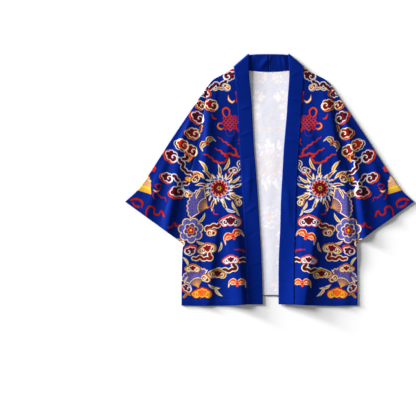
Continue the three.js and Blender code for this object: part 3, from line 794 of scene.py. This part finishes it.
def sleeve_at(side):
    """Outer and inner places of a sleeve's sheet, from the lower layer round the fold"""
    along = np.linspace(0, 1, SLEEVE_ROWS + 1)

    def top_at(share):
        return read_table(SLEEVE_TOP, share) + 1j * read_table(SLEEVE_TOP, share, 2)

    run = top_at(np.minimum(along + 0.01, 1)) - top_at(np.maximum(along - 0.01, 0))
    outward = 1j * run / np.abs(run)
    top = top_at(along) - SLEEVE_FOLD * outward
    edge_y = ARMHOLE_TOP_Y + (CUFF_TUCK_Y - ARMHOLE_TOP_Y) * along
    depth = side_x(CUFF_TUCK_Y) - CUFF_TUCK_X
    edge = side_x(edge_y) + SEAM_LINE - depth * ease(*TUCK_Y, edge_y) + 1j * edge_y
    near = np.zeros_like(along)
    far = np.ones_like(along)
    for halving in range(30):
        middle = (near + far) / 2
        spot = top + (edge - top) * middle
        outside = spot.real > side_x(spot.imag) + SEAM_GAP
        near = np.where(outside, middle, near)
        far = np.where(outside, far, middle)
    width = np.abs(edge - top)
    most = MOST_OF_WIDTH * width
    strip = np.minimum(np.maximum((1 - near) * width, TUCK_LEAST), most)[:, None]
    ramp = np.minimum(RAMP, most)[:, None]
    level = (ON_BACK * ease(*ON_BACK_Y, edge_y))[:, None]
    top, edge, outward, width = (each[:, None] for each in (top, edge, outward, width))

    def layer(share):
        station = share[None, :] * width
        spot = edge + (top - edge) * share[None, :]
        floor = level * ease(strip + ramp, strip, station)
        opening = ease(0, PARTS_OVER, station - strip)
        near_fold = ease(MEETS_OVER, 0, width - station)
        free = opening * (1 - near_fold)
        x, y = side * spot.real, spot.imag
        folds = folds_height(SLEEVE_FOLDS, x, y) * free
        creases = folds_height(SLEEVE_CREASES, x, y) * free
        slack = SEAM_SLACK + (OPEN_SLACK - SEAM_SLACK) * opening
        slack = slack + (FOLD_SLACK - slack) * near_fold + folds
        ditch = SEAM_DITCH * np.exp(-(station / DITCH_WIDTH) ** 2) * (level < 0.01)
        return spot, floor, floor + 2 * CLOTH + slack + np.maximum(creases, -slack) - ditch

    low_spot, low_z, _ = layer(np.linspace(0, 1, LOWER_POINTS))
    up_spot, _, up_z = layer(np.linspace(1, 0, UPPER_POINTS))
    turn = np.radians(np.linspace(-90, 90, FOLD_POINTS + 2)[1:-1])[None, :]
    fold_spot = top + SLEEVE_FOLD * np.cos(turn) * outward
    fold_z = SLEEVE_FOLD * (1 + np.sin(turn)) + 0 * width
    inner_fold = top + (SLEEVE_FOLD - SHEET) * np.cos(turn) * outward
    inner_z = SLEEVE_FOLD + (SLEEVE_FOLD - SHEET) * np.sin(turn) + 0 * width
    spots = np.concatenate([low_spot, fold_spot, up_spot], axis=1)
    z = np.concatenate([low_z, fold_z, up_z], axis=1)
    inner_spots = np.concatenate([low_spot, inner_fold, up_spot], axis=1)
    inner_z = np.concatenate([low_z + SHEET, inner_z, up_z - SHEET], axis=1)
    outer = np.stack([side * spots.real, spots.imag, z], axis=2)
    inner = np.stack([side * inner_spots.real, inner_spots.imag, inner_z], axis=2)
    return outer, inner[::COARSE, ::COARSE]


for side, name in [(1, "sleeve_right"), (-1, "sleeve_left")]:
    outer, inner = sleeve_at(side)
    outer_colours = front_print(np.abs(outer[:, :, 0]), outer[:, :, 1])
    inner_colours = lining(inner)
    sleeve = panel_mesh(name + "_panel", outer, inner, outer_colours, inner_colours)
    sleeve.data.materials.append(printed_polyester)
    cuff_row = outer[CUFF_SEWING_ROW]
    cuff = sewing(name + "_stitches", [cuff_row[-UPPER_POINTS:-2], cuff_row[2:LOWER_POINTS]],
                  THREAD)
    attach(sleeve, "root")
    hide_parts(name)

# Fronts: two panels of the printed cloth, sewn to the back at shoulder and side and to the
# sleeve at the armhole. They lie on the back and over the tucked sleeve, in soft long folds
# that run down from the armhole, and their hems are turned up and stitched.
HEM_DIP = 3
NECK_CORNER_CUT = 1.4
BAND_FOLD = 4.2
NECK_LIFT = 2 * BAND_FOLD - 2 * CLOTH - ON_BACK
SIDE_LIFT = 2 * CLOTH + SEAM_SLACK + 2 * SEAM_GAP
FRONT_ROWS = 472
FRONT_COLUMNS = 136
BAND_EDGES = [  # y, x of the band's free and sewn edges on the right, then on the left
    (-378, 26.7, 73.5, -19.5, -66), (-240, 27.3, 74.5, -24, -71.5),
    (-150, 31.5, 78, -29, -76), (-60, 34, 80, -34.5, -80), (30, 39, 84.5, -41, -86),
    (100, 43, 88.5, -46.8, -91), (190, 50.8, 94.7, -51.5, -94.5),
    (240, 54, 98, -54.2, -97.8), (310, 58.6, 101.6, -61, -104.6),
    (336, 58.2, 100.9, -61.6, -106.3), (378, 55.7, 100.9, -61.1, -106.3),
]
RIGHT_FREE, RIGHT_SEWN, LEFT_FREE, LEFT_SEWN = (1, 2, 3, 4)
NECK_LIFT_X = (172, 104)  # where the rise towards the neck starts, and where it is full
NECK_LIFT_Y = (196, 352)
BELOW_SHOULDER = 24
CLIMBS_SLEEVE_Y = (48, 2)  # where the side starts to climb onto the tucked sleeve
LEAVES_SLEEVE_Y = (-285, -218)  # where it is down again below it
OVER_SLEEVE_IN = (62, 30)  # how far in from the side it starts to climb, and is up
TURNED_HEM = 15
HEM_STEP = 0.3
HEM_ROLL = 0.5
SIDE_ROLL = 0.2
SEAM_ROLL = 0.3
FRONT_SEWING_ROW = -11
BODY_FOLDS = [
    (166, 30, 58, -620, 42, 23, 12), (150, 60, 96, -620, 60, 90, 3),
    (164, 304, 218, -24, 36, 12, 8.5), (221, 62, 243, -240, 16, 9, 4),
    (230, -220, 218, -520, 24, 14, 2.2), (104, 190, 152, 40, 18, 11, 2.8),
    (50, -10, 62, -150, 12, 8, 1.5),
    (-118, 10, -62, -590, 32, 19, 12.5), (-176, 290, -198, -50, 13, 17, 6.5),
    (-150, -60, -198, -470, 24, 12, 4.8), (-100, 160, -152, 20, 18, 11, 2.8),
    (-58, 60, -64, -80, 11, 7, 1.4),
]
FRONT_CREASES = [
    (150, 300, 176, 200, 9, 6, 0.8), (120, 260, 160, 150, 9, 6, -0.5),
    (196, 130, 208, 10, 7, 5, 1), (184, 90, 196, -70, 6, 5, -0.8),
    (150, -60, 118, -260, 8, 5, 1), (168, -90, 140, -330, 7, 5, -0.9),
    (130, -200, 100, -420, 9, 6, 0.8), (210, -120, 226, -300, 8, 6, -0.6),
    (238, -150, 240, -380, 7, 5, 0.7), (100, 40, 140, -40, 8, 5, 0.7),
    (90, -150, 104, -300, 8, 5, 0.7), (196, -230, 180, -390, 9, 6, 0.8),
    (-152, 300, -172, 206, 9, 6, 0.8), (-124, 250, -158, 160, 9, 6, -0.5),
    (-198, 126, -206, 16, 6, 5, 0.8), (-186, 84, -192, -60, 6, 5, -0.8),
    (-140, -70, -116, -250, 8, 5, 1), (-104, -110, -88, -360, 8, 5, -0.7),
    (-176, -190, -170, -420, 8, 6, 0.8), (-224, -140, -232, -330, 8, 6, -0.6),
    (-96, 30, -136, -44, 8, 5, 0.7), (-210, -200, -214, -400, 9, 6, 0.7),
]


def neck_lift(y):
    """Rise of band and fronts towards the fold at the neck"""
    return NECK_LIFT * ease(*NECK_LIFT_Y, y)


def front_floor(x, y):
    """Height at which a front lies"""
    out = np.abs(x)
    down = ease(*CLIMBS_SLEEVE_Y, y) * ease(*LEAVES_SLEEVE_Y, y)
    over_sleeve = SIDE_LIFT * down * ease(*OVER_SLEEVE_IN, side_x(y) - out)
    below_seam = read_table(SHOULDER_EDGE, out) - y
    neck = neck_lift(y) * ease(*NECK_LIFT_X, out) * ease(0, BELOW_SHOULDER, below_seam)
    return ON_BACK + over_sleeve + neck + folds_height(BODY_FOLDS, x, y)


def front_at(side, sewn_edge):
    """Places of a front's upper face, row by row from shoulder to hem"""
    down = np.linspace(0, 1, FRONT_ROWS + 1)[:, None]
    across = np.linspace(0, 1, FRONT_COLUMNS + 1)[None, :]
    neck_top = SHOULDER_EDGE[0][1] - NECK_CORNER_CUT
    inner_y = neck_top + (HEM_Y + HEM_DIP - neck_top) * down
    inner_x = side * read_table(BAND_EDGES, inner_y, sewn_edge) + SEAM_LINE
    outer_y = SHOULDER_Y + (HEM_Y - SHOULDER_Y) * down
    outer_x = side_x(outer_y)
    top_x = SHOULDER_EDGE[0][0] + (SHOULDER_X - SHOULDER_EDGE[0][0]) * across
    bow = read_table(SHOULDER_EDGE, top_x) - neck_top - (SHOULDER_Y - neck_top) * across
    x = side * (inner_x + (outer_x - inner_x) * across)
    y = inner_y + (outer_y - inner_y) * across + bow * (1 - down) ** 3
    y = y - HEM_DIP * np.sin(np.pi * across) * down
    from_side = (1 - across) * (outer_x - inner_x)
    from_seam = across * (outer_x - inner_x)
    from_hem = (1 - down) * (neck_top - HEM_Y)
    free = ease(0, 12, from_side) * ease(0, 8, from_seam)
    creases = folds_height(FRONT_CREASES, x, y) * free
    ditch = SEAM_DITCH * np.exp(-(from_side / DITCH_WIDTH) ** 2) * ease(0, 40, y)
    roll = SIDE_ROLL * ease(2.2, 0, from_side) + SEAM_ROLL * ease(1.6, 0, from_seam)
    hem_step = HEM_STEP * ease(TURNED_HEM + 1, TURNED_HEM - 0.5, from_hem)
    hem_step = hem_step - HEM_ROLL * ease(1.4, 0, from_hem)
    rest = folds_height(BODY_FOLDS, x, y) + 0.2
    z = front_floor(x, y) + CLOTH + np.maximum(creases, -rest) - ditch - roll + hem_step
    return np.stack([x, y, z], axis=2)


for side, name, sewn_edge in [(1, "front_right", RIGHT_SEWN), (-1, "front_left", LEFT_SEWN)]:
    outer = front_at(side, sewn_edge)
    inner = outer[::COARSE, ::COARSE] - np.array([0, 0, SHEET])
    outer_colours = front_print(np.abs(outer[:, :, 0]), outer[:, :, 1])
    inner_colours = lining(inner)
    front = panel_mesh(name + "_panel", outer, inner, outer_colours, inner_colours)
    front.data.materials.append(printed_polyester)
    hem = sewing(name + "_stitches", [outer[FRONT_SEWING_ROW, 2:-2]], THREAD)
    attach(front, "root")
    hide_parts(name)

# Neckband: a plain blue strip of the same cloth, doubled lengthwise, sewn round the neck and
# down both fronts and joined at the centre back. Behind the neck its inner face is up and its
# free edge a little raised, and at each corner it folds over and runs down to the hem.
COLLAR_TOP_Y = 376
COLLAR_DIP = 1.5
COLLAR_HALF = 58.4
COLLAR_LIFT = 4.2
CENTRE_DIP = 1.2
NECK_DEEPEST = 0.4
BAND_DEEPEST = 0.5
BAND_PUFF = 0.25
BAND_BACK_ROWS = 40
BAND_FOLD_ROWS = 14
BAND_FRONT_ROWS = 376
BAND_POINTS = 16
BAND_EDGE_POINTS = 5
BAND_INK = "#021d74"
BAND_CREASES = [
    (30, 250, 100, 236, 5, 4, 0.8), (44, 214, 108, 190, 5, 4, 0.7),
    (40, 168, 96, 152, 5, 4, -0.5), (36, 130, 100, 110, 6, 4, 0.7),
    (30, 60, 98, 40, 6, 4, 0.6), (26, 20, 92, -20, 6, 4, -0.5), (26, -30, 90, -70, 6, 4, 0.9),
    (24, -80, 88, -120, 6, 4, -0.5), (22, -160, 84, -200, 7, 4, 0.8),
    (24, -230, 76, -262, 6, 4, 0.8), (22, -300, 80, -316, 6, 4, -0.4),
    (44, 300, 96, 330, 6, 4, 0.7),
    (-44, 296, -100, 322, 6, 4, 0.7), (-40, 226, -104, 206, 6, 4, 0.7),
    (-38, 150, -96, 128, 6, 4, 0.6), (-34, 74, -92, 56, 6, 4, -0.5),
    (-28, 10, -90, -16, 6, 4, 0.7), (-24, -70, -84, -106, 7, 4, 0.8),
    (-22, -150, -80, -176, 6, 4, -0.5), (-16, -240, -76, -266, 6, 4, 0.8),
    (-16, -310, -70, -330, 6, 4, 0.6),
]
NECK_CREASES = [
    (-46, 380, -52, 326, 6, 5, -1.6), (-40, 372, -44, 326, 4, 3, -0.6),
    (8, 380, -36, 322, 9, 7, 2.4), (12, 360, -14, 326, 4, 3, -0.5),
    (26, 374, 36, 326, 5, 4, 0.9), (40, 380, 50, 322, 7, 6, 1.8),
    (58, 366, 70, 334, 5, 4, 0.6), (-72, 362, -80, 336, 5, 4, 0.6),
]


def band_at(side, free_edge, sewn_edge):
    """Rings of points round the doubled strip, from the centre back seam to the hem"""
    free_corner = complex(NECK_X + side * COLLAR_HALF, COLLAR_TOP_Y - COLLAR_DIP)
    sewn_corner = complex(NECK_X + side * NECK_HALF, NECK_Y + NECK_RISE)
    fold_line = (sewn_corner - free_corner) / abs(sewn_corner - free_corner)
    outward = side * 1j * fold_line
    across = np.linspace(0, 1, BAND_POINTS)
    sections = []
    for share in np.linspace(0, 1, BAND_BACK_ROWS, endpoint=False):
        start = NECK_X + side * SEAM_LINE / 2
        sewn_x = start + side * NECK_HALF * share
        neckline = NECK_Y + NECK_RISE * ((sewn_x - NECK_X) / NECK_HALF) ** 2
        free = complex(start + side * COLLAR_HALF * share, COLLAR_TOP_Y - COLLAR_DIP * share ** 2)
        spots = free + (complex(sewn_x, neckline) - free) * across
        calm = ease(1, 0.8, share) * ease(0, 0.05, share)
        creases = folds_height(NECK_CREASES, spots.real, spots.imag)
        creases = np.maximum(creases, -NECK_DEEPEST) * calm
        upper = 2 * CLOTH + creases * np.sin(np.pi * across) ** 0.5
        upper = upper - (CENTRE_DIP if side > 0 else 0) * ease(0.03, 0, share)
        lift = COLLAR_LIFT * (1 - across) * ease(1, 0.6, share)
        sections.append((spots, lift, spots, upper + lift))
    for turn in np.radians(np.linspace(-90, 90, BAND_FOLD_ROWS)):
        spots = free_corner + (sewn_corner - free_corner) * across
        less = BAND_FOLD - 2 * CLOTH
        sections.append((spots + BAND_FOLD * np.cos(turn) * outward,
                         BAND_FOLD * (1 + np.sin(turn)) + 0 * across,
                         spots + less * np.cos(turn) * outward,
                         BAND_FOLD + less * np.sin(turn) + 0 * across))
    for share in np.linspace(0, 1, BAND_FRONT_ROWS + 1)[1:]:
        free_y = free_corner.imag + (HEM_Y + HEM_DIP - free_corner.imag) * share
        sewn_y = free_y - (free_corner - sewn_corner).imag * ease(0.12, 0, share)
        free = complex(read_table(BAND_EDGES, free_y, free_edge), free_y)
        sewn = complex(read_table(BAND_EDGES, sewn_y, sewn_edge), sewn_y)
        spots = free + (sewn - free) * across
        floor = ON_BACK + neck_lift(spots.imag) + folds_height(BODY_FOLDS, spots.real, spots.imag)
        creases = folds_height(BAND_CREASES, spots.real, spots.imag) * ease(0, 0.06, share)
        puff = BAND_PUFF + np.maximum(creases, -BAND_DEEPEST)
        puff = puff * np.sin(np.pi * across) ** 0.6
        sections.append((spots, floor + 2 * CLOTH + puff, spots, floor))
    rings = []
    for outer_spots, outer_z, inner_spots, inner_z in sections:
        middle = (outer_spots + inner_spots) / 2
        middle_z = (outer_z + inner_z) / 2
        half = (outer_spots - inner_spots) / 2
        half_z = (outer_z - inner_z) / 2
        out = middle[-1] - middle[0]
        out = out / abs(out)
        turns = np.radians(np.linspace(90, -90, BAND_EDGE_POINTS + 2)[1:-1])
        inset = CLOTH * (1 - 2 * across)
        ring = list(zip(outer_spots + inset * out, outer_z))
        ring += [(middle[-1] - CLOTH * out * (1 - np.cos(t)) + half[-1] * np.sin(t),
                  middle_z[-1] + half_z[-1] * np.sin(t)) for t in turns]
        ring += list(zip(inner_spots + inset * out, inner_z))[::-1]
        ring += [(middle[0] + CLOTH * out * (1 - np.cos(t)) - half[0] * np.sin(t),
                  middle_z[0] - half_z[0] * np.sin(t)) for t in turns]
        rings.append([(spot.real, spot.imag, z) for spot, z in ring])
    return np.array(rings)


# The same polyester dyed plain, a little smoother than where it is printed
plain_polyester = woven_polyester("plain_polyester", 0.43, 0.02)
for side, name, edges in [(1, "neckband_right", (RIGHT_FREE, RIGHT_SEWN)),
                          (-1, "neckband_left", (LEFT_FREE, LEFT_SEWN))]:
    rings = band_at(side, *edges)
    count, around = rings.shape[:2]
    numbers = np.arange(count * around).reshape(count, around)
    closed = np.concatenate([numbers, numbers[:, :1]], axis=1)
    faces = quads(closed).tolist() + [numbers[0].tolist(), numbers[-1, ::-1].tolist()]
    colours = np.tile(linear(BAND_INK), (count * around, 1))
    band = cloth_object(name + "_strip", rings.reshape(-1, 3) / 1000, faces, colours)
    band.data.materials.append(plain_polyester)
    edge_row = rings[BAND_BACK_ROWS + BAND_FOLD_ROWS:, BAND_POINTS - 2]
    neck_row = rings[2:BAND_BACK_ROWS - 1, BAND_POINTS + BAND_EDGE_POINTS + 1]
    edge = sewing(name + "_stitches", [edge_row, neck_row], THREAD)
    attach(band, "root")
    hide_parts(name)

# Floor, light and camera: the cardigan lies on plain white card and is seen straight from
# above, as in the photograph. Two low lamps at the upper left, a soft one and a harder one,
# draw out its folds, in pale light from all round.
FLOOR_SIZE = 6
FLOOR_BELOW = 0.0006
PIXEL = 3.0  # mm that one pixel of the photograph shows
PHOTO_SIDE = 416
ORIGIN_ACROSS = 269.5
ORIGIN_DOWN = 179.6
LENS = 100
SENSOR = 36
LAMPS = [  # name, energy, angle that it spans, way that it shines
    ("key", 6.9, 0.4, (0.82, -0.47, -0.285)),
    ("low_rim", 5.6, 0.12, (0.84, -0.52, -0.13)),
]
LIGHT_ALL_ROUND = 0.29
mesh = bpy.data.meshes.new("floor")
half = FLOOR_SIZE / 2
mesh.from_pydata([(-half, -half, -FLOOR_BELOW), (half, -half, -FLOOR_BELOW),
                  (half, half, -FLOOR_BELOW), (-half, half, -FLOOR_BELOW)], [], [(0, 1, 2, 3)])
floor = in_scene("floor", mesh)
# Matt white card, with a faint grain
card = bpy.data.materials.new("white_card")
card.use_nodes = True
card_shader = card.node_tree.nodes["Principled BSDF"]
grain = add(card.node_tree, "ShaderNodeTexNoise", {}, {"Scale": 300, "Detail": 1})
tone = add(card.node_tree, "ShaderNodeMapRange", {}, {"Value": grain.outputs[0],
                                                     "To Min": 0.86, "To Max": 0.88})
card.node_tree.links.new(tone.outputs[0], card_shader.inputs["Base Color"])
card_shader.inputs["Roughness"].default_value = 0.9
mesh.materials.append(card)

for name, energy, angle, way in LAMPS:
    lamp = bpy.data.lights.new(name, "SUN")
    lamp.energy = energy
    lamp.angle = angle
    in_scene(name, lamp).rotation_euler = Vector(way).to_track_quat("-Z", "Y").to_euler()
world = bpy.context.scene.world or bpy.data.worlds.new("world")
bpy.context.scene.world = world
world.use_nodes = True
world.node_tree.nodes["Background"].inputs["Color"].default_value = (1, 1, 1, 1)
world.node_tree.nodes["Background"].inputs["Strength"].default_value = LIGHT_ALL_ROUND
bpy.context.scene.view_settings.view_transform = "Standard"

lens = bpy.data.cameras.new("camera")
lens.lens = LENS
lens.sensor_width = SENSOR
camera = in_scene("camera", lens)
camera.location = ((PHOTO_SIDE / 2 - ORIGIN_ACROSS) * PIXEL / 1000,
                   (ORIGIN_DOWN - PHOTO_SIDE / 2) * PIXEL / 1000,
                   PHOTO_SIDE * PIXEL / 1000 * LENS / SENSOR)
bpy.context.scene.camera = camera
